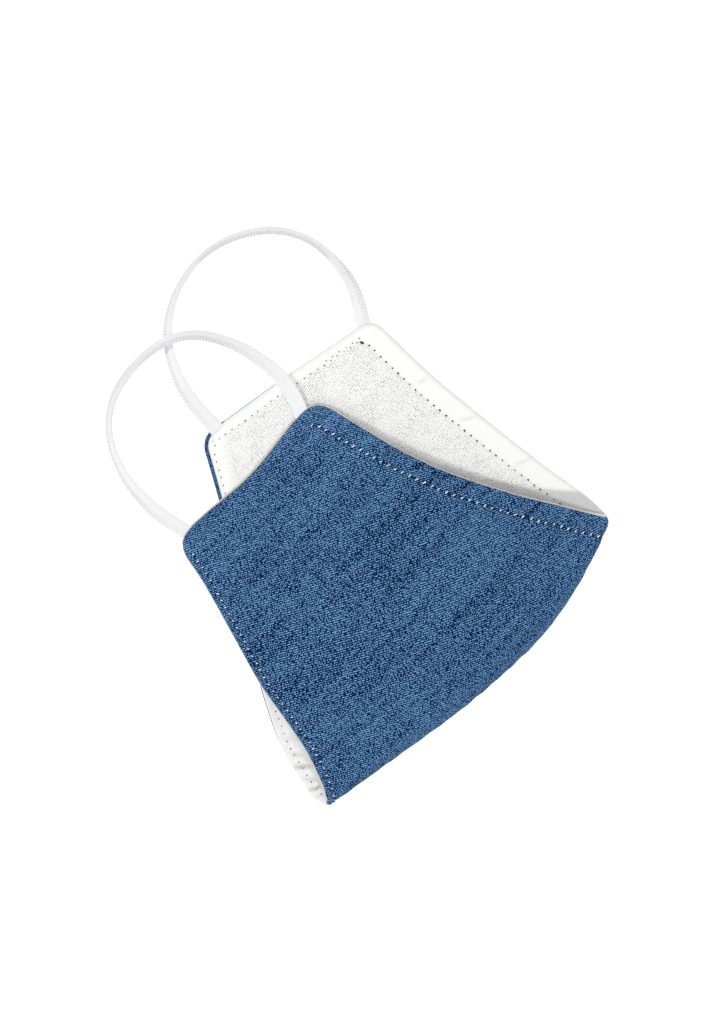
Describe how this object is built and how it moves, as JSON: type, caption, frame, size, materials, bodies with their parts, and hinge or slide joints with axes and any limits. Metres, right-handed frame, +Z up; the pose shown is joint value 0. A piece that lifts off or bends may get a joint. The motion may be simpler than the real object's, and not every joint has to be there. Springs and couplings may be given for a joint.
{
  "type": "cloth face mask",
  "caption": "Reusable two-panel cloth face mask with a muslin lining and flat elastic ear loops, folded on its centre seam and lying on its side.",
  "frame": {"origin": "under the middle of the cloth's box, on the surface that the mask lies on", "axes": "+Y up the seam's chord from the chin point to the nose tip, -X back to the ears, +Z up from the surface"},
  "size_m": [0.1909, 0.151, 0.0278],
  "materials": {
    "chambray": "matt blue cotton chambray with fine light flecks",
    "muslin": "matt off-white open-weave cotton",
    "elastic": "white knitted elastic, slightly glossy yarn"
  },
  "bodies": {
    "root": {"outer_right": "chambray", "lining_right": "muslin", "outer_left": "chambray", "lining_left": "muslin", "ear_loop_right": "elastic", "ear_loop_left": "elastic"}
  },
  "joints": []
}
